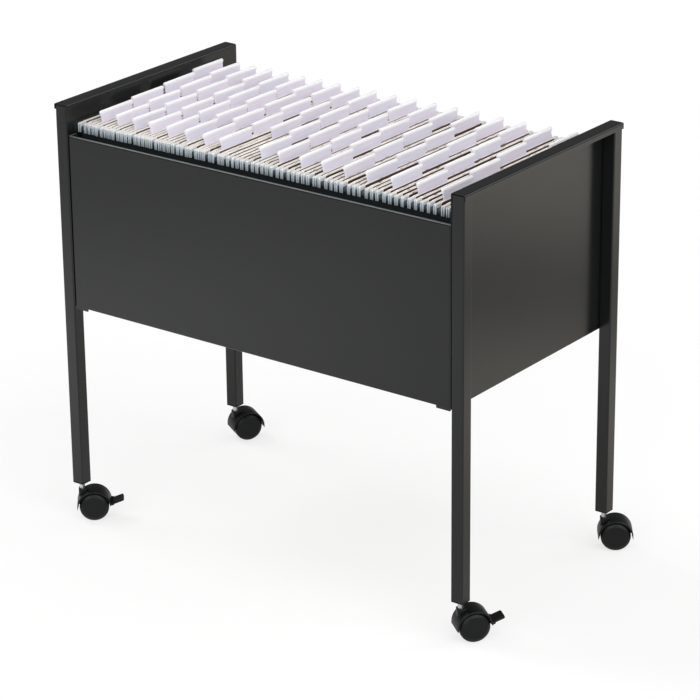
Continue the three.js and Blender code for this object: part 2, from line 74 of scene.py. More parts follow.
# Frame
LEG_WALL = 1.5
LEG_CORNER = 2
SHEET = 1.2
FOLD = 2.6
TIGHT_FOLD = 0.8
CAP_EDGE = 0.25
CAP_LIP = 9
PANEL_EDGE = 0.2
PANEL_TOP = 614
HEM_WIDTH = 6
CHANNEL_DROP = 14
CHANNEL_MIDDLE = 180  # from the cart's middle, between the hem and the rail
PANEL_RETURN = 12
END_FLANGE = 18
EAR_LENGTH = 24
EAR_DROP = 3
EAR_OVERLAP = 3
EAR_FACES = (0.04, 1.1)  # behind the panel's face
EAR_CORNER = 1.2
RAIL_FACE = 165.6
RAIL_HEIGHT = 9
# Where the panels' coat is painted paler: a painted highlight along the hem's top, and a grey band
# on the rail behind the hooks, greyer towards its top. Each gives from which height to which, how
# much at the least, on which side of the channel's middle, and its colour there
PANEL_HIGHLIGHT_AND_GREY_BAND = (
    # Painted highlight along the hem's top edge
    (PANEL_TOP - 1.2, PANEL_TOP - 0.2, 0, "GREATER_THAN", "#565b5d"),
    # A grey band on the rail behind the hooks, greyer towards its top
    (PANEL_TOP - 1, PANEL_TOP + 6, 0.08, "LESS_THAN", "#7c8489"),
)

# Casters
TRAIL = 17.5  # from the stem to the axle
WHEEL_RADIUS = 22.5
WHEEL_FACES = (4.5, 17.5)
WHEEL_BORE = 3.15
HOOD_INNER = 23.94
HOOD_OUTER = 26.14
HOOD_BEGIN = 7.5  # above the level of the axle, where the arch starts
HOOD_EDGE = 1.5
HOOD_SIDE = 20  # from the axle, beyond which the arch's sides lie
HOOD_WEB = 8
BOSS_FOOT = 38
BOSS_TOP = 49.5
STEM_RADIUS = 4
STEM_COLLAR = 59.7
STEM_HOLE = 4.15
PIVOT = (45.64, 26)  # from the stem, and above the floor
LEVER_WIDTH = 20
LEVER_THICKNESS = 3.6
LEVER_REACH = 17.5
LEVER_RISE = 20
NOSE_RISE = 26
SWIVEL = {"front_left": 40, "front_right": 51, "rear_left": 58, "rear_right": 36}

# Hanging files
FILE_COUNT = 75
FILES_PER_PACK = 5
FILE_ROOM = 673  # along the rails
FILE_SPREAD = 0.45  # how much more room the last file has than the first
FILE_GAP = 0.9  # between two folders, at the least
FILE_SLIP = 0.15
FILE_WITHOUT_TAB = 35  # counted from 0
FILE_HEIGHT = 240
FIRST_FILE_APART = 2.2
BUNCH_FILES = (2, 5)
BUNCH_PUSH = (0.2, 1.6)
CHANCE_SEED = 75
BAR_TOP = 626.3
SLOT_TOP = 623.3
HOOK_TIP = 614.8
HOOK_END = 174
HOOK_STRIP = 1.6
HOOK_ROUND = 3.4
RUNNER_HALF = 0.8
RUNNER_BELOW = 0.4  # the sleeve's top
RUNNER_APART = 1.5  # from the file's middle
RUNNER_SLIP = 0.7
SLEEVE_TOP = 629
FOLDER_HALF = 161.4  # of its length
FOLDER_SIDE = 2.7  # from its middle
FOLDER_SLOT = 0.25  # from its middle to a flap
FOLDER_FLAP = 11
FOLDER_FOLD = 0.7
BOARD_THICKNESS = 0.4
PAPER_HALVES = (1.5, 150)  # of a sheaf's thickness and length
PAPER_BELOW = 14  # the bars' tops
PAPER_ABOVE = 3  # the folder's foot
PAPER_STEP = (-0.3, 4)  # where the taller sheets start, and how much taller they are
PAPER_SLIP = (-3, 1)
TAB_HALF = 0.7
TAB_LENGTH = 70
TAB_HEIGHT = 20.5
TAB_FOOT = 5  # below the bar's top
TAB_FOOT_SHARE = 0.94
TAB_PLACES = 4
TAB_SPACING = 81
TAB_SHIFT = 1.5
TAB_SLIP = 0.8
TAB_LEAN = (4, 9)
TAB_TURN = 0.6
# The lens of a tab: how far below its top, how many times as thick as the tab's foot, and its share
# of the length
TAB_LENS = (
    (7.5, 1, 1), (5.6, 2.2, 1), (4, 3.1, 1), (2.4, 3.2, 1),
    (1.1, 2.6, 0.99), (0.3, 1.7, 0.975), (0, 0.8, 0.955),
)


def linear(hex_colour):
    """An sRGB hex colour as the linear colour that a shader takes."""
    parts = [int(hex_colour[i:i + 2], 16) / 255 for i in (1, 3, 5)]
    return [c / 12.92 if c <= 0.04045 else ((c + 0.055) / 1.055) ** 2.4 for c in parts] + [1]


# Modelling by hand: start clean, pick by place, shape, close, shade

def start_clean():
    if bpy.context.mode != "OBJECT":
        bpy.ops.object.mode_set(mode="OBJECT")
    bpy.ops.object.select_all(action="DESELECT")


def take_up(piece):
    start_clean()
    piece.select_set(True)
    bpy.context.view_layer.objects.active = piece


def new_piece(name, scale=(1, 1, 1)):
    """Names the primitive just added, and sets its size and place into its mesh."""
    piece = bpy.context.active_object
    piece.name = name
    piece.data.name = name
    piece.scale = scale
    bpy.ops.object.transform_apply(location=True, rotation=True, scale=True)
    return piece


def block(name, low, high):
    start_clean()
    low, high = Vector(low), Vector(high)
    bpy.ops.mesh.primitive_cube_add(size=1, location=(low + high) / 2)
    return new_piece(name, high - low)


def edit(piece):
    take_up(piece)
    bpy.ops.object.mode_set(mode="EDIT")


def pick(kind, test):
    """Selects the points, edges or faces that pass the test, in edit mode."""
    bpy.ops.mesh.select_mode(type=kind)
    bpy.ops.mesh.select_all(action="DESELECT")
    mesh = bpy.context.edit_object.data
    shape = bmesh.from_edit_mesh(mesh)
    parts = {"VERT": shape.verts, "EDGE": shape.edges, "FACE": shape.faces}[kind]
    for part in parts:
        if test(part):
            part.select_set(True)
    shape.select_flush_mode()
    bmesh.update_edit_mesh(mesh)


def pick_all():
    bpy.ops.mesh.select_all(action="SELECT")


def middle(edge):
    return (edge.verts[0].co + edge.verts[1].co) / 2


def runs_along(edge, axis):
    line = edge.verts[1].co - edge.verts[0].co
    return abs(line[axis]) > 0.99 * line.length


def near(a, b):
    return abs(a - b) < CLOSE


def draw_out(x=0, y=0, z=0):
    bpy.ops.mesh.extrude_region_move(TRANSFORM_OT_translate={"value": (x, y, z)})


def round_over(width, segments):
    """Rounds the picked edges over a width in millimetres."""
    bpy.ops.mesh.bevel(offset=width * MM, segments=segments, affect="EDGES")


def slice_through(point, direction, **settings):
    pick_all()
    bpy.ops.mesh.bisect(plane_co=point, plane_no=direction, **settings)


def mend():
    """Merges doubled points and turns the faces of a closed shape outwards."""
    pick_all()
    bpy.ops.mesh.remove_doubles(threshold=MERGED)
    bpy.ops.mesh.normals_make_consistent(inside=False)


def close_edit():
    mend()
    bpy.ops.object.mode_set(mode="OBJECT")


def apply(piece, kind, **settings):
    take_up(piece)
    modifier = piece.modifiers.new(kind, kind)
    for key, value in settings.items():
        setattr(modifier, key, value)
    bpy.ops.object.modifier_apply(modifier=modifier.name)


def thicken(piece, wall):
    apply(piece, "SOLIDIFY", thickness=wall * MM, offset=-1, use_even_offset=True)


def close_sheet(sheet, wall, outward):
    """Gives a folded sheet its wall, once a face that passes the test looks out."""
    pick_all()
    bpy.ops.mesh.normals_make_consistent(inside=False)
    shape = bmesh.from_edit_mesh(sheet.data)
    if not any(outward(face.normal) for face in shape.faces):
        bpy.ops.mesh.flip_normals()
    bpy.ops.object.mode_set(mode="OBJECT")
    thicken(sheet, wall)


def ease_edges(piece, width):
    apply(piece, "BEVEL", width=width * MM, segments=2, limit_method="ANGLE",
          angle_limit=radians(50), use_clamp_overlap=True)


def combine(piece, other, how):
    """Joins the other piece on, or cuts it out, and clears it away."""
    apply(piece, "BOOLEAN", operation=how, solver="EXACT", object=other)
    bpy.data.objects.remove(other)


def shade(piece, angle=35, even=True):
    take_up(piece)
    bpy.ops.object.shade_smooth_by_angle(angle=radians(angle))
    if even:
        apply(piece, "WEIGHTED_NORMAL", keep_sharp=True, weight=60)


def copy_of(piece, name, place):
    """A copy with its own mesh, moved by the place matrix."""
    twin = piece.copy()
    twin.data = piece.data.copy()
    twin.name = name
    twin.data.name = name
    twin.data.transform(place)
    bpy.context.scene.collection.objects.link(twin)
    return twin


def gather(pieces, name):
    start_clean()
    for piece in pieces:
        piece.select_set(True)
    bpy.context.view_layer.objects.active = pieces[0]
    bpy.ops.object.join()
    whole = bpy.context.active_object
    whole.name = name
    whole.data.name = name
    return whole


def half_turn(piece, name):
    """The opposite piece: the same one turned half round the cart's upright middle line."""
    middle_line = Matrix.Translation(CART)
    turn = Matrix.Rotation(pi, 4, "Z")
    return copy_of(piece, name, middle_line @ turn @ middle_line.inverted())


def clear_away(*masters):
    for master in masters:
        bpy.data.objects.remove(master)


def dress(piece, material):
    piece.data.materials.clear()
    piece.data.materials.append(material)


def settle(piece, body, slot, material, *nodes):
    dress(piece, material)
    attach(piece, body)
    if nodes:
        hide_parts(*nodes)


# Materials

# A wave texture at a scale of 1 repeats every 0.314 m
WAVE = 0.314


def add_node(tree, kind, inputs=(), **settings):
    node = tree.nodes.new(kind)
    for key, value in settings.items():
        setattr(node, key, value)
    for socket, value in dict(inputs).items():
        if isinstance(value, bpy.types.NodeSocket):
            tree.links.new(value, node.inputs[socket])
        else:
            node.inputs[socket].default_value = value
    return node


def new_material(name):
    material = bpy.data.materials.new(name)
    material.use_nodes = True
    tree = material.node_tree
    place = add_node(tree, "ShaderNodeTexCoord").outputs["Object"]
    return material, tree, tree.nodes["Principled BSDF"], place


def powder_coated_steel(name, pale_bands=()):
    """Folded steel under black powder coat: nearly black itself, so what the eye sees is the soft
    mirror of the room in a satin skin with a fine orange peel, and paler in any bands given: on the
    panels a painted highlight along the hem and a grey band on the rail."""
    material, tree, shader, place = new_material(name)
    # Faint clouds some 110 mm wide
    cloud = add_node(tree, "ShaderNodeTexNoise", {"Vector": place, "Scale": 9, "Detail": 3})
    tone = add_node(tree, "ShaderNodeMix", {
        "Factor": cloud.outputs["Fac"], "A": linear("#121413"), "B": linear("#171918")},
        data_type="RGBA")
    # Each band mixes in a paler colour: on the panels a painted highlight and a grey band
    for band_from, band_to, least, side, colour in pale_bands:
        spot = add_node(tree, "ShaderNodeSeparateXYZ", {"Vector": place})
        depth = add_node(tree, "ShaderNodeMath", {
            0: spot.outputs["Y"], 1: CART.y}, operation="SUBTRACT")
        depth = add_node(tree, "ShaderNodeMath", {0: depth.outputs[0]}, operation="ABSOLUTE")
        upper = add_node(tree, "ShaderNodeMapRange", {
            "Value": spot.outputs["Z"], "From Min": band_from * MM, "From Max": band_to * MM,
            "To Min": least})
        there = add_node(tree, "ShaderNodeMath", {
            0: depth.outputs[0], 1: CHANNEL_MIDDLE * MM}, operation=side)
        band = add_node(tree, "ShaderNodeMath", {
            0: upper.outputs["Result"], 1: there.outputs[0]}, operation="MULTIPLY")
        tone = add_node(tree, "ShaderNodeMix", {
            "Factor": band.outputs[0], "A": tone.outputs["Result"], "B": linear(colour)},
            data_type="RGBA")
    # Orange peel cells are about 1.5 mm wide
    peel = add_node(tree, "ShaderNodeTexNoise", {
        "Vector": place, "Scale": 1 / (1.5 * MM), "Detail": 2})
    sheen = add_node(tree, "ShaderNodeMapRange", {
        "Value": cloud.outputs["Fac"], "To Min": 0.19, "To Max": 0.26})
    bump = add_node(tree, "ShaderNodeBump", {
        "Height": peel.outputs["Fac"], "Strength": 0.12, "Distance": 0.02 * MM})
    shader.inputs["IOR"].default_value = 1.42
    tree.links.new(tone.outputs["Result"], shader.inputs["Base Color"])
    tree.links.new(sheen.outputs["Result"], shader.inputs["Roughness"])
    tree.links.new(bump.outputs["Normal"], shader.inputs["Normal"])
    return material


def moulded_nylon():
    """Black moulded nylon: a flat dark grey with the fine spark-eroded grain of its mould."""
    material, tree, shader, place = new_material("moulded_nylon")
    # Faint clouds some 17 mm wide
    cloud = add_node(tree, "ShaderNodeTexNoise", {"Vector": place, "Scale": 60, "Detail": 3})
    tone = add_node(tree, "ShaderNodeMix", {
        "Factor": cloud.outputs["Fac"], "A": linear("#0a0c0c"), "B": linear("#101313")},
        data_type="RGBA")
    # Mould grain of 0.4 mm
    grain = add_node(tree, "ShaderNodeTexNoise", {
        "Vector": place, "Scale": 1 / (0.4 * MM), "Detail": 2})
    bump = add_node(tree, "ShaderNodeBump", {
        "Height": grain.outputs["Fac"], "Strength": 0.25, "Distance": 0.03 * MM})
    rough = add_node(tree, "ShaderNodeMapRange", {
        "Value": grain.outputs["Fac"], "To Min": 0.34, "To Max": 0.44})
    shader.inputs["Specular IOR Level"].default_value = 0.24
    tree.links.new(tone.outputs["Result"], shader.inputs["Base Color"])
    tree.links.new(rough.outputs["Result"], shader.inputs["Roughness"])
    tree.links.new(bump.outputs["Normal"], shader.inputs["Normal"])
    return material


def zinc_plated_steel():
    """Bright zinc plating on turned steel: a cool grey mirror, blurred round the turning marks."""
    material, tree, shader, place = new_material("zinc_plated_steel")
    # Turning marks every 0.5 mm up the piece
    marks = add_node(tree, "ShaderNodeTexWave", {
        "Vector": place, "Scale": WAVE / (0.5 * MM), "Distortion": 1.5, "Detail": 2},
        wave_type="BANDS", bands_direction="Z")
    tone = add_node(tree, "ShaderNodeMix", {
        "Factor": marks.outputs["Fac"], "A": linear("#c3c9d3"), "B": linear("#d9dde4")},
        data_type="RGBA")
    rough = add_node(tree, "ShaderNodeMapRange", {
        "Value": marks.outputs["Fac"], "To Min": 0.26, "To Max": 0.38})
    shader.inputs["Metallic"].default_value = 1
    tree.links.new(tone.outputs["Result"], shader.inputs["Base Color"])
    tree.links.new(rough.outputs["Result"], shader.inputs["Roughness"])
    return material


def runner_steel():
    """Thin galvanised runner bars: a pale blue grey strip with a cloudy zinc bloom, darker down its
    hooks as painted shade, and near white along its top edge as a painted highlight."""
    hook_shade_to = HOOK_TIP + 8
    top_highlight_from, top_highlight_to = SLEEVE_TOP - 3, SLEEVE_TOP - 1.2
    material, tree, shader, place = new_material("galvanised_runner")
    # Bloom in patches of 4 mm
    bloom = add_node(tree, "ShaderNodeTexNoise", {
        "Vector": place, "Scale": 1 / (4 * MM), "Detail": 3})
    zinc = add_node(tree, "ShaderNodeMix", {
        "Factor": bloom.outputs["Fac"], "A": linear("#bfcbd3"), "B": linear("#e3ecf2")},
        data_type="RGBA")
    spot = add_node(tree, "ShaderNodeSeparateXYZ", {"Vector": place})
    # Painted shade: the hooks darker towards their tips
    height_ramp = add_node(tree, "ShaderNodeMapRange", {
        "Value": spot.outputs["Z"], "From Min": HOOK_TIP * MM, "From Max": hook_shade_to * MM})
    shaded_hooks = add_node(tree, "ShaderNodeMix", {
        "Factor": height_ramp.outputs["Result"], "A": linear("#a2aeb6"), "B": zinc.outputs["Result"]},
        data_type="RGBA")
    # Painted highlight: near white along the top edge
    pale_top = add_node(tree, "ShaderNodeMapRange", {
        "Value": spot.outputs["Z"], "From Min": top_highlight_from * MM, "From Max": top_highlight_to * MM})
    tone = add_node(tree, "ShaderNodeMix", {
        "Factor": pale_top.outputs["Result"], "A": shaded_hooks.outputs["Result"], "B": linear("#f1eeeb")},
        data_type="RGBA")
    shader.inputs["Metallic"].default_value = 0.15
    shader.inputs["Roughness"].default_value = 0.4
    tree.links.new(tone.outputs["Result"], shader.inputs["Base Color"])
    return material


def manila_board():
    """Folder board: natural brown kraft, dark brown over its top 11 mm as painted shade of the gaps
    between folders, and a pale fold over each bar where the brown shows through in short dashes."""
    hem_shade_from, hem_shade_to = SLEEVE_TOP - FOLDER_FLAP - 1, SLEEVE_TOP - FOLDER_FLAP
    wall_from, wall_to = SLEEVE_TOP - 1.4, SLEEVE_TOP - 0.2
    crown_from, crown_to = SLEEVE_TOP - 5, SLEEVE_TOP - 3.5
    rightward_shade_reach = 250
    material, tree, shader, place = new_material("manila_board")
    # Along the file run fibres 0.6 mm wide and 6 mm long, and worn dashes 1.6 mm by 16 mm
    along = add_node(tree, "ShaderNodeMapping", {"Vector": place, "Scale": (1, 0.1, 1)})
    fibre = add_node(tree, "ShaderNodeTexNoise", {
        "Vector": along.outputs["Vector"], "Scale": 1 / (0.6 * MM), "Detail": 3})
    dash = add_node(tree, "ShaderNodeTexNoise", {
        "Vector": along.outputs["Vector"], "Scale": 1 / (1.6 * MM), "Detail": 1})
    kraft = add_node(tree, "ShaderNodeMix", {
        "Factor": fibre.outputs["Fac"], "A": linear("#8a6848"), "B": linear("#a8845f")},
        data_type="RGBA")
    spot = add_node(tree, "ShaderNodeSeparateXYZ", {"Vector": place})
    # Painted shade: the board's top 11 mm dark brown, where the gaps between folders fall dark
    hem_shade = add_node(tree, "ShaderNodeMapRange", {
        "Value": spot.outputs["Z"], "From Min": hem_shade_from * MM, "From Max": hem_shade_to * MM})
    hem = add_node(tree, "ShaderNodeMix", {
        "Factor": hem_shade.outputs["Result"], "A": kraft.outputs["Result"], "B": linear("#40281b")},
        data_type="RGBA")
    # Along the walls' top edge a paler grey brown, above the painted shade
    height_ramp = add_node(tree, "ShaderNodeMapRange", {
        "Value": spot.outputs["Z"], "From Min": wall_from * MM, "From Max": wall_to * MM})
    wall = add_node(tree, "ShaderNodeMix", {
        "Factor": height_ramp.outputs["Result"], "A": hem.outputs["Result"], "B": linear("#b9a595")},
        data_type="RGBA")
    worn = add_node(tree, "ShaderNodeMapRange", {
        "Value": dash.outputs["Fac"], "From Min": 0.58, "From Max": 0.65})
    # Painted shade: the dashes are darker towards the right, where the files stand looser and the
    # gaps between them fall darker
    rightward_shade = add_node(tree, "ShaderNodeMapRange", {
        "Value": spot.outputs["X"],
        "From Min": CART.x - rightward_shade_reach * MM, "From Max": CART.x + rightward_shade_reach * MM})
    brown = add_node(tree, "ShaderNodeMix", {
        "Factor": rightward_shade.outputs["Result"], "A": linear("#dccfc4"), "B": linear("#5c4435")},
        data_type="RGBA")
    pale = add_node(tree, "ShaderNodeMix", {
        "Factor": worn.outputs["Result"], "A": linear("#fdfaf6"), "B": brown.outputs["Result"]},
        data_type="RGBA")
    # Pale on the fold's crown and cut ends, brown where the board turns down
    facing = add_node(tree, "ShaderNodeSeparateXYZ", {
        "Vector": add_node(tree, "ShaderNodeNewGeometry").outputs["Normal"]})
    side = add_node(tree, "ShaderNodeMath", {0: facing.outputs["X"]}, operation="ABSOLUTE")
    crown = add_node(tree, "ShaderNodeMapRange", {
        "Value": side.outputs[0], "From Min": 0.6, "From Max": 0.9, "To Min": 1, "To Max": 0})
    upper = add_node(tree, "ShaderNodeMapRange", {
        "Value": spot.outputs["Z"], "From Min": crown_from * MM, "From Max": crown_to * MM})
    pale_top = add_node(tree, "ShaderNodeMath", {
        0: crown.outputs["Result"], 1: upper.outputs["Result"]}, operation="MULTIPLY")
    tone = add_node(tree, "ShaderNodeMix", {
        "Factor": pale_top.outputs[0], "A": wall.outputs["Result"], "B": pale.outputs["Result"]},
        data_type="RGBA")
    bump = add_node(tree, "ShaderNodeBump", {
        "Height": fibre.outputs["Fac"], "Strength": 0.2, "Distance": 0.05 * MM})
    shader.inputs["Roughness"].default_value = 0.75
    tree.links.new(tone.outputs["Result"], shader.inputs["Base Color"])
    tree.links.new(bump.outputs["Normal"], shader.inputs["Normal"])
    return material


def office_paper():
    """Stacked office paper seen on edge: off-white with the fine dark lines between its sheets."""
    material, tree, shader, place = new_material("office_paper")
    # Sheets are 0.1 mm thick, too fine to show, so a line is drawn for every fifth one
    sheets = add_node(tree, "ShaderNodeTexWave", {
        "Vector": place, "Scale": WAVE / (0.5 * MM), "Distortion": 2, "Detail": 2},
        wave_type="BANDS", bands_direction="X")
    tone = add_node(tree, "ShaderNodeMix", {
        "Factor": sheets.outputs["Fac"], "A": linear("#cfc6bb"), "B": linear("#efebe4")},
        data_type="RGBA")
    shader.inputs["Roughness"].default_value = 0.8
    tree.links.new(tone.outputs["Result"], shader.inputs["Base Color"])
    return material


def label_plastic():
    """Soft PVC label tab over a white slip: a milky face, lilac on one tab and bluer on the next,
    with faint streaks along it, under a clear lens, whiter at the top as a painted highlight of the
    light from above."""
    tab_top = BAR_TOP + TAB_HEIGHT
    lens_highlight_from, lens_highlight_to = tab_top - 8, tab_top - 4
    material, tree, shader, place = new_material("label_tab_pvc")
    # Tints change from tab to tab, over some 14 mm along the cart and 130 mm across it
    each = add_node(tree, "ShaderNodeMapping", {"Vector": place, "Scale": (1, 0.11, 0.1)})
    haze = add_node(tree, "ShaderNodeTexNoise", {
        "Vector": each.outputs["Vector"], "Scale": 1 / (14 * MM), "Detail": 0})
    tint = add_node(tree, "ShaderNodeMapRange", {
        "Value": haze.outputs["Fac"], "From Min": 0.35, "From Max": 0.65})
    face = add_node(tree, "ShaderNodeMix", {
        "Factor": tint.outputs["Result"], "A": linear("#e5e3f3"), "B": linear("#ebe4f3")},
        data_type="RGBA")
    # Streaks 2 mm high and some 30 mm long
    drawn = add_node(tree, "ShaderNodeMapping", {"Vector": place, "Scale": (0.3, 0.06, 1)})
    streak = add_node(tree, "ShaderNodeTexNoise", {
        "Vector": drawn.outputs["Vector"], "Scale": 1 / (2 * MM), "Detail": 1})
    streaked = add_node(tree, "ShaderNodeMapRange", {
        "Value": streak.outputs["Fac"], "From Min": 0.45, "From Max": 0.75, "To Max": 0.35})
    slip = add_node(tree, "ShaderNodeMix", {
        "Factor": streaked.outputs["Result"], "A": face.outputs["Result"], "B": linear("#faf8fc")},
        data_type="RGBA")
    spot = add_node(tree, "ShaderNodeSeparateXYZ", {"Vector": place})
    # Painted highlight: the lens whiter along the tab's top, where the light from above falls
    lens = add_node(tree, "ShaderNodeMapRange", {
        "Value": spot.outputs["Z"], "From Min": lens_highlight_from * MM, "From Max": lens_highlight_to * MM})
    tone = add_node(tree, "ShaderNodeMix", {
        "Factor": lens.outputs["Result"], "A": slip.outputs["Result"], "B": linear("#f3f2f6")},
        data_type="RGBA")
    shader.inputs["Roughness"].default_value = 0.32
    tree.links.new(tone.outputs["Result"], shader.inputs["Base Color"])
    return material


PAINT = powder_coated_steel("powder_coated_steel")
PANEL_PAINT = powder_coated_steel("powder_coated_panel", PANEL_HIGHLIGHT_AND_GREY_BAND)
NYLON = moulded_nylon()
ZINC = zinc_plated_steel()
RUNNER = runner_steel()
BOARD = manila_board()
PAPER = office_paper()
LABEL = label_plastic()


# Frame: legs, end panels, front and rear panels

def make_leg(corner):
    leg = block(f"{corner}_leg_tube", *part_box(f"{corner}_leg"))
    edit(leg)
    pick("EDGE", lambda e: runs_along(e, 2))
    round_over(LEG_CORNER, 5)
    pick("FACE", lambda f: abs(f.normal.z) > 0.9)
    bpy.ops.mesh.delete(type="FACE")
    close_edit()
    thicken(leg, LEG_WALL)
    shade(leg)
    return leg


def make_end_panel():
    """Right end panel: a web inside the legs, folded over their tops and down their outside."""
    low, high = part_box("right_end_panel")
    start_clean()
    bpy.ops.mesh.primitive_plane_add(
        size=1, rotation=(0, pi / 2, 0),
        location=(low.x, (low.y + high.y) / 2, (low.z + high.z) / 2))
    panel = new_piece("right_end_panel_sheet", (high.z - low.z, high.y - low.y, 1))
    edit(panel)
    pick("EDGE", lambda e: runs_along(e, 1) and near(middle(e).z, high.z))
    draw_out(x=high.x - low.x)
    draw_out(z=-CAP_LIP * MM)
    pick("EDGE", lambda e: runs_along(e, 1) and near(middle(e).z, high.z))
    round_over(FOLD, 7)
    close_sheet(panel, SHEET, lambda normal: normal.z > 0.9)
    ease_edges(panel, CAP_EDGE)
    shade(panel)
    return panel


def make_front_panel():
    """Front panel: a face folded in at its foot and ends, with a hemmed top edge, a channel, a rail
    and an ear below each bottom corner."""
    low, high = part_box("front_panel")
    top = high.z - RAIL_HEIGHT * MM
    foot = low.z + EAR_DROP * MM
    hem = low.y + HEM_WIDTH * MM
    rail = CART.y - RAIL_FACE * MM
    start_clean()
    bpy.ops.mesh.primitive_plane_add(
        size=1, location=((low.x + high.x) / 2, low.y, (top + foot) / 2), rotation=(pi / 2, 0, 0))
    panel = new_piece("front_panel_sheet", (high.x - low.x, top - foot, 1))
    edit(panel)
    pick("EDGE", lambda e: runs_along(e, 0) and near(middle(e).z, top))
    draw_out(y=HEM_WIDTH * MM)
    draw_out(z=-CHANNEL_DROP * MM)
    draw_out(y=rail - low.y - HEM_WIDTH * MM)
    draw_out(z=(CHANNEL_DROP + RAIL_HEIGHT) * MM)
    pick("EDGE", lambda e: runs_along(e, 0) and near(middle(e).z, foot))
    draw_out(y=PANEL_RETURN * MM)
    pick("EDGE", lambda e: runs_along(e, 2) and near(middle(e).y, low.y))
    draw_out(y=END_FLANGE * MM)
    pick("EDGE", lambda e: len(e.link_faces) == 2 and (
        near(middle(e).y, low.y) or near(middle(e).y, hem) and near(middle(e).z, top)))
    round_over(FOLD, 6)
    pick("EDGE", lambda e: runs_along(e, 0) and near(middle(e).z, top - CHANNEL_DROP * MM))
    round_over(TIGHT_FOLD, 3)
    close_sheet(panel, SHEET, lambda normal: normal.y < -0.9)
    ear_front, ear_back = (low.y + face * MM for face in EAR_FACES)
    ears = []
    for start in (low.x, high.x - EAR_LENGTH * MM):
        ear = block("front_panel_ear", (start, ear_front, low.z),
                    (start + EAR_LENGTH * MM, ear_back, foot + EAR_OVERLAP * MM))
        edit(ear)
        pick("EDGE", lambda e: runs_along(e, 1) and near(middle(e).z, low.z))
        round_over(EAR_CORNER, 3)
        close_edit()
        ears.append(ear)
    panel = gather([panel] + ears, "front_panel_sheet")
    ease_edges(panel, PANEL_EDGE)
    shade(panel)
    return panel


for corner in CORNERS:
    settle(make_leg(corner), "frame", "paint", PAINT, f"{corner}_leg")

right_end = make_end_panel()
left_end = half_turn(right_end, "left_end_panel_sheet")
settle(right_end, "frame", "paint", PAINT, "right_end_panel")
settle(left_end, "frame", "paint", PAINT, "left_end_panel")

front_panel = make_front_panel()
rear_panel = half_turn(front_panel, "rear_panel_sheet")
settle(front_panel, "frame", "paint", PANEL_PAINT, "front_panel")
settle(rear_panel, "frame", "paint", PANEL_PAINT, "rear_panel")


# Casters, modelled about the stem with the wheels trailing towards +X

def turned(name, steps, sides):
    """A round piece about Z, drawn up from a filled circle through steps of (radius, height)."""
    start_clean()
    radius, height = steps[0]
    bpy.ops.mesh.primitive_circle_add(vertices=sides, radius=radius * MM, fill_type="NGON",
                                      location=(0, 0, height * MM))
    piece = new_piece(name)
    edit(piece)
    pick("FACE", lambda f: True)
    for (from_radius, from_height), (to_radius, to_height) in zip(steps, steps[1:]):
        draw_out(z=(to_height - from_height) * MM)
        if to_radius != from_radius:
            share = to_radius / from_radius
            bpy.ops.transform.resize(
                value=(share, share, 1), center_override=(0, 0, to_height * MM))
    close_edit()
    return piece


def make_stem():
    """Stem: a thin foot in the hood, a shank, a collar under the leg and an eased top."""
    shank, collar = STEM_RADIUS, STEM_COLLAR
    stem = turned("stem", [
        (2.4, 31.5), (2.4, 43.5), (3.6, 43.5), (shank, 43.9),
        (shank, collar - 1.5), (5.1, collar - 1.5), (5.4, collar - 1.2), (5.4, collar - 0.3),
        (5.1, collar), (shank, collar), (shank, 89), (3, 90)], 40)
    shade(stem)
    return stem


def make_wheel():
    """Wheel on the +Y side: a bore from inside, a tread with a round shoulder, a chamfered rim and
    a flat face."""
    inner, outer = WHEEL_FACES
    tread = WHEEL_RADIUS
    wheel = turned("wheel", [
        (WHEEL_BORE, outer - 3), (WHEEL_BORE, inner), (tread - 0.6, inner), (tread, inner + 0.6),
        (tread, outer - 5.5), (tread - 0.3, outer - 4.2), (tread - 1, outer - 3),
        (tread - 1.8, outer - 2.3), (tread - 2.2, outer - 2), (tread - 4.8, outer - 0.35),
        (tread - 5.2, outer - 0.1), (tread - 5.7, outer), (tread - 6.2, outer),
        (tread - 6.5, outer - 0.25), (tread - 7, outer - 0.3)], 96)
    axle = Matrix.Translation((TRAIL * MM, 0, WHEEL_RADIUS * MM))
    wheel.data.transform(axle @ Matrix.Rotation(-pi / 2, 4, "X"))
    shade(wheel)
    return wheel


def make_arch(name):
    """The hood's arch over both wheels, drawn out to a pointed tip at each end."""
    half = WHEEL_FACES[1] * MM
    axle = WHEEL_RADIUS * MM
    begin = radians(HOOD_BEGIN)
    radius = (HOOD_INNER + HOOD_OUTER) / 2 * MM
    # The tips: how far they reach out and down, and how and towards which place they narrow
    tip_out, tip_down = 0.054, 6.37
    tip_shares = (0.2, 1, 0.3)
    tip_x, tip_z = 25.97, 2.96
    start_clean()
    bpy.ops.mesh.primitive_plane_add(size=1, rotation=(0, -begin, 0), location=(
        TRAIL * MM + radius * cos(begin), 0, axle + radius * sin(begin)))
    arch = new_piece(name, ((HOOD_OUTER - HOOD_INNER) * MM, 2 * half, 1))
    edit(arch)
    pick_all()
    bpy.ops.mesh.spin(
        steps=66, angle=pi - 2 * begin, center=(TRAIL * MM, 0, axle), axis=(0, 1, 0))
    mend()
    pick("EDGE", lambda e: near(abs(middle(e).y), half) and all(
        hypot(v.co.x - TRAIL * MM, v.co.z - axle) > radius for v in e.verts))
    round_over(HOOD_EDGE, 4)
    for side in SIDES:
        pick("FACE", lambda f: f.normal.z < -0.9 and (
            side * (f.calc_center_median().x - TRAIL * MM) > HOOD_SIDE * MM))
        draw_out(x=side * tip_out * MM, z=-tip_down * MM)
        bpy.ops.transform.resize(value=tip_shares, center_override=(
            (TRAIL + side * tip_x) * MM, 0, axle - tip_z * MM))
    close_edit()
    return arch


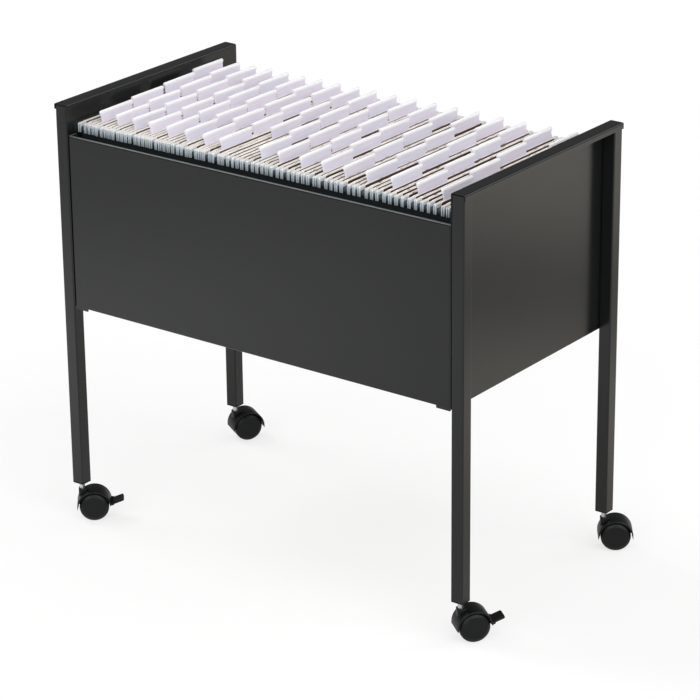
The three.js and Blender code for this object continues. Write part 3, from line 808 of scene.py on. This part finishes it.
def make_web():
    """The web between the wheels: a disc cut off along its two sides and its foot."""
    axle = WHEEL_RADIUS * MM
    radius = (HOOD_INNER + HOOD_OUTER) / 2 * MM
    cut_x, cut_z, cut_foot = 24.8, 3.3, 9
    slope_x, slope_z = 12.3, -18.8
    start_clean()
    bpy.ops.mesh.primitive_circle_add(vertices=144, radius=radius, rotation=(pi / 2, 0, 0),
                                      location=(TRAIL * MM, -HOOD_WEB / 2 * MM, axle))
    web = new_piece("web")
    edit(web)
    pick_all()
    bpy.ops.mesh.edge_face_add()
    for side in SIDES:
        slice_through(((TRAIL + side * cut_x) * MM, 0, axle + cut_z * MM),
                      (side * slope_x, 0, slope_z), use_fill=False, clear_outer=True)
    slice_through((0, 0, axle - cut_foot * MM), (0, 0, -1), use_fill=False, clear_outer=True)
    pick_all()
    draw_out(y=HOOD_WEB * MM)
    close_edit()
    return web


def make_boss():
    """The boss that takes the stem, with round corners and an eased top."""
    back, front, half = -5.5, 8, 7
    corner_round, edge_round = 3, 1
    boss = block("boss", (back * MM, -half * MM, BOSS_FOOT * MM),
                 (front * MM, half * MM, BOSS_TOP * MM))
    edit(boss)
    pick("EDGE", lambda e: runs_along(e, 2))
    round_over(corner_round, 5)
    pick("EDGE", lambda e: all(near(v.co.z, BOSS_TOP * MM) for v in e.verts))
    round_over(edge_round, 3)
    close_edit()
    return boss


def fit_for_brake(hood):
    """Opens the hood for the brake lever and adds the two lugs that hold its pivot."""
    pivot_x, pivot_z = PIVOT
    rim = TRAIL + HOOD_INNER
    gap = 0.3
    half = LEVER_WIDTH / 2 + gap
    notch_in, notch_out, notch_up = 4.4, 3.2, 2.4
    lug_start, lug_width, lug_half, lug_round = 0.5, 2.6, 2, 1.8
    notch = block("notch", ((rim - notch_in) * MM, -half * MM, 0),
                  ((pivot_x + notch_out) * MM, half * MM, (pivot_z + notch_up) * MM))
    combine(hood, notch, "DIFFERENCE")
    for side in SIDES:
        start, end = sorted((side * half, side * (half + lug_width)))
        lug = block("lug", ((rim + lug_start) * MM, start * MM, (pivot_z - lug_half) * MM),
                    ((pivot_x + lug_half) * MM, end * MM, (pivot_z + lug_half) * MM))
        edit(lug)
        pick("EDGE", lambda e: runs_along(e, 1) and middle(e).x > pivot_x * MM)
        round_over(lug_round, 6)
        close_edit()
        combine(hood, lug, "UNION")


def make_hood(with_brake):
    """Hood: an arch with pointed tips over both wheels, a web between them and a boss for the stem.
    With a brake, its rear tip is cut off below the lever."""
    clear, lever_room = 30, 1.2
    hole_depth, hole_middle = 12, 49.2
    hood = make_arch("hood_with_brake" if with_brake else "hood")
    if with_brake:
        tip = block("tips", ((TRAIL + HOOD_SIDE) * MM, -clear * MM, 0),
                    (2 * clear * MM, clear * MM, (PIVOT[1] - lever_room) * MM))
        combine(hood, tip, "DIFFERENCE")
    combine(hood, make_web(), "UNION")
    combine(hood, make_boss(), "UNION")
    start_clean()
    bpy.ops.mesh.primitive_cylinder_add(vertices=40, radius=STEM_HOLE * MM, depth=hole_depth * MM,
                                        location=(0, 0, hole_middle * MM))
    combine(hood, new_piece("stem_hole"), "DIFFERENCE")
    if with_brake:
        fit_for_brake(hood)
    shade(hood, 40, even=False)
    return hood


def make_lever():
    """Brake lever about its pivot: a flat pedal with an eased tip and a shallow recess, a nose for
    the treads and two stubs."""
    half, half_width = LEVER_THICKNESS / 2, LEVER_WIDTH / 2
    heel_round, tip_round, edge_round = 1.6, 2.5, 0.5
    recess_margin, recess_depth = 1.2, 0.5
    nose_start, nose_end, nose_half, nose_round = -5, 0.5, 1.4, 1.3
    stub_radius, stub_length = 1.5, 24.6
    lever = block("lever", (-half * MM, -half_width * MM, -half * MM),
                  (LEVER_REACH * MM, half_width * MM, half * MM))
    edit(lever)
    pick("EDGE", lambda e: runs_along(e, 1) and middle(e).x < 0)
    round_over(heel_round, 5)
    pick("EDGE", lambda e: runs_along(e, 2) and near(middle(e).x, LEVER_REACH * MM))
    round_over(tip_round, 5)
    pick("EDGE", lambda e: near(middle(e).z, half * MM) and e.calc_face_angle() > radians(60))
    round_over(edge_round, 2)
    pick("FACE", lambda f: f.normal.z > 0.999)
    bpy.ops.mesh.inset(thickness=recess_margin * MM)
    draw_out(z=-recess_depth * MM)
    close_edit()
    lever.data.transform(Matrix.Rotation(-radians(LEVER_RISE), 4, "Y"))
    nose = block("nose", (nose_start * MM, -half_width * MM, -nose_half * MM),
                 (nose_end * MM, half_width * MM, nose_half * MM))
    edit(nose)
    pick("EDGE", lambda e: runs_along(e, 1) and middle(e).x < 0)
    round_over(nose_round, 4)
    close_edit()
    nose.data.transform(Matrix.Rotation(-radians(NOSE_RISE), 4, "Y"))
    combine(lever, nose, "UNION")
    start_clean()
    bpy.ops.mesh.primitive_cylinder_add(
        vertices=24, radius=stub_radius * MM, depth=stub_length * MM, rotation=(pi / 2, 0, 0))
    combine(lever, new_piece("stubs"), "UNION")
    lever.data.transform(Matrix.Translation((PIVOT[0] * MM, 0, PIVOT[1] * MM)))
    shade(lever, 40, even=False)
    return lever


stem_master = make_stem()
wheel_master = make_wheel()
hood_master = make_hood(False)
brake_hood_master = make_hood(True)
lever_master = make_lever()
about_wheel = Matrix.Translation((TRAIL * MM, 0, 0))
other_side = about_wheel @ Matrix.Rotation(pi, 4, "Z") @ about_wheel.inverted()

for corner in CORNERS:
    low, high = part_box(f"{corner}_stem")
    stand = Matrix.Translation(((low.x + high.x) / 2, (low.y + high.y) / 2, 0))
    trail = stand @ Matrix.Rotation(radians(SWIVEL[corner]), 4, "Z")
    brake = corner.startswith("front")
    settle(copy_of(stem_master, f"{corner}_stem_pin", stand),
           "frame", "zinc", ZINC, f"{corner}_stem")
    settle(copy_of(brake_hood_master if brake else hood_master, f"{corner}_hood_shell", trail),
           f"{corner}_caster", "nylon", NYLON, f"{corner}_hood")
    settle(copy_of(wheel_master, f"{corner}_wheel_a_disc", trail),
           f"{corner}_wheel_a", "nylon", NYLON, f"{corner}_wheel_a")
    settle(copy_of(wheel_master, f"{corner}_wheel_b_disc", trail @ other_side),
           f"{corner}_wheel_b", "nylon", NYLON, f"{corner}_wheel_b")
    if brake:
        settle(copy_of(lever_master, f"{corner}_brake_pedal", trail),
               f"{corner}_brake_lever", "nylon", NYLON, f"{corner}_brake_lever")
clear_away(stem_master, wheel_master, hood_master, brake_hood_master, lever_master)


# Hanging files, modelled on the cart's middle line and copied along it

def make_runner():
    """Runner bar: a steel strip, rounded over at each end into a hook down outside the rail."""
    runner = block("runner", (-RUNNER_HALF * MM, -HOOK_END * MM, SLOT_TOP * MM),
                   (RUNNER_HALF * MM, HOOK_END * MM, (SLEEVE_TOP - RUNNER_BELOW) * MM))
    edit(runner)
    hook_start = HOOK_END - HOOK_STRIP
    for side in SIDES:
        slice_through((0, side * hook_start * MM, 0), (0, 1, 0))
    pick("FACE", lambda f: f.normal.z < -0.9 and abs(f.calc_center_median().y) > hook_start * MM)
    draw_out(z=(HOOK_TIP - SLOT_TOP) * MM)
    pick("EDGE", lambda e: runs_along(e, 0) and near(abs(middle(e).y), HOOK_END * MM)
         and middle(e).z > SLOT_TOP * MM)
    round_over(HOOK_ROUND, 4)
    close_edit()
    shade(runner, 40, even=False)
    return runner


def make_folder():
    """Folder: one sheet of board wrapped over two runners, down to a fold at its foot."""
    top = SLEEVE_TOP * MM
    inner, outer = FOLDER_SLOT * MM, FOLDER_SIDE * MM
    flap = FOLDER_FLAP * MM
    foot = (BAR_TOP - FILE_HEIGHT) * MM
    start_clean()
    bpy.ops.mesh.primitive_plane_add(
        size=1, location=(-inner, 0, top - flap / 2), rotation=(0, pi / 2, 0))
    folder = new_piece("folder", (flap, 2 * FOLDER_HALF * MM, 1))
    edit(folder)
    pick("EDGE", lambda e: runs_along(e, 1) and near(middle(e).z, top))
    draw_out(x=inner - outer)
    draw_out(z=foot - top)
    draw_out(x=2 * outer)
    draw_out(z=top - foot)
    draw_out(x=inner - outer)
    draw_out(z=-flap)
    pick("EDGE", lambda e: runs_along(e, 1) and len(e.link_faces) == 2)
    round_over(FOLDER_FOLD, 2)
    close_sheet(folder, BOARD_THICKNESS, lambda normal: normal.z > 0.9)
    shade(folder, 40, even=False)
    return folder


def make_papers():
    """Papers in a folder: a sheaf whose top edge steps where sheets stand higher."""
    half, half_length = PAPER_HALVES
    step, rise = PAPER_STEP
    papers = block("papers",
                   (-half * MM, -half_length * MM, (BAR_TOP - FILE_HEIGHT + PAPER_ABOVE) * MM),
                   (half * MM, half_length * MM, (BAR_TOP - PAPER_BELOW) * MM))
    edit(papers)
    slice_through((step * MM, 0, 0), (1, 0, 0))
    pick("FACE", lambda f: f.normal.z > 0.9 and f.calc_center_median().x > step * MM)
    draw_out(z=rise * MM)
    close_edit()
    return papers


def make_tab():
    """Label tab: a thin plastic sleeve, a little narrower at its foot, that swells to a round lens
    along its top."""
    tab = block("tab", (-TAB_HALF * MM, -TAB_LENGTH / 2 * MM, -TAB_FOOT * MM),
                (TAB_HALF * MM, TAB_LENGTH / 2 * MM, TAB_HEIGHT * MM))
    edit(tab)
    pick("VERT", lambda v: v.co.z < 0)
    bpy.ops.transform.resize(value=(1, TAB_FOOT_SHARE, 1), center_override=(0, 0, 0))
    for below_top, _, _ in TAB_LENS[:-1]:
        slice_through((0, 0, (TAB_HEIGHT - below_top) * MM), (0, 0, 1))
    for below_top, swell, length in TAB_LENS:
        pick("VERT", lambda v: near(v.co.z, (TAB_HEIGHT - below_top) * MM))
        bpy.ops.transform.resize(value=(swell, length, 1), center_override=(0, 0, 0))
    close_edit()
    shade(tab, 60, even=False)
    return tab


def file_places(chance):
    """Where each file stands along the cart: looser towards the right, pushed together in bunches,
    and the first one apart from the rest."""
    shares = [1 + FILE_SPREAD * (i / (FILE_COUNT - 1)) ** 2 for i in range(FILE_COUNT)]
    edge = -FILE_ROOM / 2
    even = []
    for share in shares:
        pitch = FILE_ROOM * share / sum(shares)
        even.append(edge + pitch / 2)
        edge += pitch
    bunched = []
    while len(bunched) < FILE_COUNT:
        bunch = even[len(bunched):len(bunched) + chance.randint(*BUNCH_FILES)]
        centre = (bunch[0] + bunch[-1]) / 2
        closest = (2 * FOLDER_SIDE + FILE_GAP) * (len(bunch) - 1) / 2
        inward = min(chance.uniform(*BUNCH_PUSH), max(centre - bunch[0] - closest, 0))
        squeeze = inward / max(centre - bunch[0], 1)
        bunched += [place + (centre - place) * squeeze + chance.uniform(-FILE_SLIP, FILE_SLIP)
                    for place in bunch]
    bunched[0] = even[0] - FIRST_FILE_APART
    return bunched


runner_master = make_runner()
folder_master = make_folder()
papers_master = make_papers()
tab_master = make_tab()
chance = random.Random(CHANCE_SEED)
places = file_places(chance)
cart_place = Matrix.Translation(CART)

for pack in range(FILE_COUNT // FILES_PER_PACK):
    name = f"file_pack_{pack + 1:02d}"
    runners, folders, papers, tabs = [], [], [], []
    for number in range(pack * FILES_PER_PACK, (pack + 1) * FILES_PER_PACK):
        here = cart_place @ Matrix.Translation((places[number] * MM, 0, 0))
        for side in SIDES:
            slip = chance.uniform(-RUNNER_SLIP, RUNNER_SLIP)
            shift = Matrix.Translation((side * RUNNER_APART * MM, slip * MM, 0))
            runners.append(copy_of(runner_master, "runner_copy", here @ shift))
        folders.append(copy_of(folder_master, "folder_copy", here))
        lower = Matrix.Translation((0, 0, chance.uniform(*PAPER_SLIP) * MM))
        papers.append(copy_of(papers_master, "papers_copy", here @ lower))
        if number != FILE_WITHOUT_TAB:
            row = (TAB_PLACES - 1) / 2 - number % TAB_PLACES
            y = TAB_SHIFT + row * TAB_SPACING + chance.uniform(-TAB_SLIP, TAB_SLIP)
            lean = Matrix.Rotation(-radians(chance.uniform(*TAB_LEAN)), 4, "Y")
            turn = Matrix.Rotation(radians(chance.uniform(-TAB_TURN, TAB_TURN)), 4, "X")
            stand = Matrix.Translation((RUNNER_APART * MM, y * MM, BAR_TOP * MM))
            tabs.append(copy_of(tab_master, "tab_copy", here @ stand @ lean @ turn))
    settle(gather(folders, f"{name}_folders"), name, "card", BOARD, name)
    settle(gather(runners, f"{name}_runners"), name, "zinc", RUNNER)
    settle(gather(papers, f"{name}_papers"), name, "card", PAPER)
    settle(gather(tabs, f"{name}_tabs"), name, "card", LABEL)
clear_away(runner_master, folder_master, papers_master, tab_master)

# Small parts that keep their solids
SMALL_PARTS = {"screw_lower": ZINC, "screw_upper": ZINC, "axle": ZINC, "socket": NYLON}
for corner in CORNERS:
    for part, material in SMALL_PARTS.items():
        dress(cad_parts[f"{corner}_{part}"], material)


# Studio: a white floor under even soft light, and the camera

# The floor as the black paint mirrors it: how bright it is, then its pools of light and one of
# shade, each with its middle and reach in metres and how much it adds
FLOOR_MIRRORED = 0.62
FLOOR_POOLS = (
    ((-0.88, -0.76, 0), 1.1, 0.95),
    ((1.6, 1.6, 0), 0.85, 1.45),
    ((1.16, 1.02, 0), 0.55, -0.6),
    ((0.7, 0.6, 0), 0.5, 0.6),
)
# The floor to the right has a warmer light on it: its middle, where it starts to fade and where it
# ends, in metres
WARM_FLOOR = ((1.2, 1.1, 0), 1.08, 1.8)
# The share of the floor that is plain white to the camera and to mirrors
FLOOR_WHITE = 0.7
FLOOR_SIZE = 40
# The room's light, and how bright its walls are to mirrors
ROOM_LIGHT, ROOM_MIRRORED = 0.22, 0.14
# Each lamp's strength, spread, azimuth and elevation
LAMPS = {
    "overhead_light": (0.6, 100, -60, 72),
    "left_light": (0.9, 26, 188, 50),
    "back_light": (0.5, 34, 63, 34),
    "right_light": (1.6, 60, -12, 36),
    "front_light": (0.9, 36, -82, 26),
}


def make_floor():
    start_clean()
    bpy.ops.mesh.primitive_plane_add(size=FLOOR_SIZE, location=(0, 0, 0))
    floor = new_piece("studio_floor")
    material, tree, shader, place = new_material("white_studio_floor")
    # Faint clouds some 330 mm wide
    mottle = add_node(tree, "ShaderNodeTexNoise", {"Vector": place, "Scale": 3, "Detail": 2})
    tone = add_node(tree, "ShaderNodeMix", {
        "Factor": mottle.outputs["Fac"], "A": linear("#fafafa"), "B": linear("#fcfcfc")},
        data_type="RGBA")
    tree.links.new(tone.outputs["Result"], shader.inputs["Base Color"])
    shader.inputs["Roughness"].default_value = 1
    shader.inputs["Specular IOR Level"].default_value = 0
    # Most of what the camera and mirrors see of the floor is plain white, so its shadow stays faint
    path = add_node(tree, "ShaderNodeLightPath")
    mirrored = path.outputs["Is Glossy Ray"]
    seen = add_node(tree, "ShaderNodeMath", {0: path.outputs["Is Camera Ray"], 1: mirrored})
    seen = add_node(tree, "ShaderNodeMath", {
        0: seen.outputs[0], 1: path.outputs["Is Transmission Ray"]})
    share = add_node(tree, "ShaderNodeMath", {0: seen.outputs[0], 1: FLOOR_WHITE},
                     operation="MULTIPLY")
    lit = FLOOR_MIRRORED
    for centre, reach, added in FLOOR_POOLS:
        away = add_node(tree, "ShaderNodeVectorMath", {0: place, 1: centre}, operation="DISTANCE")
        pool = add_node(tree, "ShaderNodeMapRange", {
            "Value": away.outputs["Value"], "From Max": reach, "To Min": added, "To Max": 0},
            interpolation_type="SMOOTHSTEP")
        lit = add_node(tree, "ShaderNodeMath", {0: lit, 1: pool.outputs["Result"]}).outputs[0]
    strength = add_node(tree, "ShaderNodeMix", {"Factor": mirrored, "A": 1, "B": lit})
    centre, fade, end = WARM_FLOOR
    away = add_node(tree, "ShaderNodeVectorMath", {0: place, 1: centre}, operation="DISTANCE")
    warmth = add_node(tree, "ShaderNodeMapRange", {
        "Value": away.outputs["Value"], "From Min": fade, "From Max": end,
        "To Min": 1, "To Max": 0})
    warmth = add_node(tree, "ShaderNodeMath", {0: warmth.outputs["Result"], 1: mirrored},
                      operation="MULTIPLY")
    colour = add_node(tree, "ShaderNodeMix", {
        "Factor": warmth.outputs[0], "A": linear("#ffffff"), "B": linear("#fff5e6")},
        data_type="RGBA")
    white = add_node(tree, "ShaderNodeEmission", {
        "Color": colour.outputs["Result"], "Strength": strength.outputs["Result"]})
    mixed = add_node(tree, "ShaderNodeMixShader", {
        0: share.outputs[0], 1: shader.outputs["BSDF"], 2: white.outputs["Emission"]})
    tree.links.new(mixed.outputs["Shader"], tree.nodes["Material Output"].inputs["Surface"])
    floor.data.materials.append(material)
    floor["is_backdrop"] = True


def add_sun(name, strength, spread, azimuth, elevation):
    """A soft lamp, far off, that fills a wide round patch of sky."""
    start_clean()
    bpy.ops.object.light_add(type="SUN", location=(0, 0, 3))
    lamp = bpy.context.active_object
    lamp.name = name
    lamp.data.energy = strength
    lamp.data.angle = radians(spread)
    a, e = radians(azimuth), radians(elevation)
    towards = Vector((cos(a) * cos(e), sin(a) * cos(e), sin(e)))
    lamp.rotation_euler = towards.to_track_quat("Z", "Y").to_euler()


make_floor()
for name, settings in LAMPS.items():
    add_sun(name, *settings)
world = bpy.data.worlds.new("studio_room")
bpy.context.scene.world = world
world.use_nodes = True
room = world.node_tree.nodes["Background"]
room.inputs["Color"].default_value = linear("#ffffff")
# Mirrors see the walls of the room, which are dimmer than the light it gives
path = add_node(world.node_tree, "ShaderNodeLightPath")
strength = add_node(world.node_tree, "ShaderNodeMix", {
    "Factor": path.outputs["Is Glossy Ray"], "A": ROOM_LIGHT, "B": ROOM_MIRRORED})
world.node_tree.links.new(strength.outputs["Result"], room.inputs["Strength"])

# Camera as the photograph has it: seen from the front right and above, with its focus in pixels.
# The cart's middle, at the height given, stands so far right of the picture's centre and above it
YAW, PITCH, ROLL = radians(36.95), radians(21.7), radians(-0.58)
DISTANCE, FOCUS = 4500, 3064.9
CART_HEIGHT, CART_RIGHT, CART_UP = 330, -17.6, 32.8
PICTURE, SENSOR = 700, 36
forward = Vector((-sin(YAW) * cos(PITCH), cos(YAW) * cos(PITCH), -sin(PITCH)))
level = Vector((cos(YAW), sin(YAW), 0))
upward = level.cross(forward)
cart_middle = CART + MM * Vector((0, 0, CART_HEIGHT))
eye = cart_middle - MM * (CART_RIGHT * level + CART_UP * upward + DISTANCE * forward)
side_axis = cos(ROLL) * level + sin(ROLL) * upward
up_axis = cos(ROLL) * upward - sin(ROLL) * level
start_clean()
bpy.ops.object.camera_add()
camera = bpy.context.active_object
camera.name = "camera"
camera.matrix_world = Matrix((
    (side_axis.x, up_axis.x, -forward.x, eye.x),
    (side_axis.y, up_axis.y, -forward.y, eye.y),
    (side_axis.z, up_axis.z, -forward.z, eye.z),
    (0, 0, 0, 1)))
camera.data.sensor_width = SENSOR
camera.data.lens = FOCUS / PICTURE * SENSOR
camera.data.clip_end = 100
bpy.context.scene.camera = camera
bpy.context.scene.view_settings.view_transform = "Standard"

low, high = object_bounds()
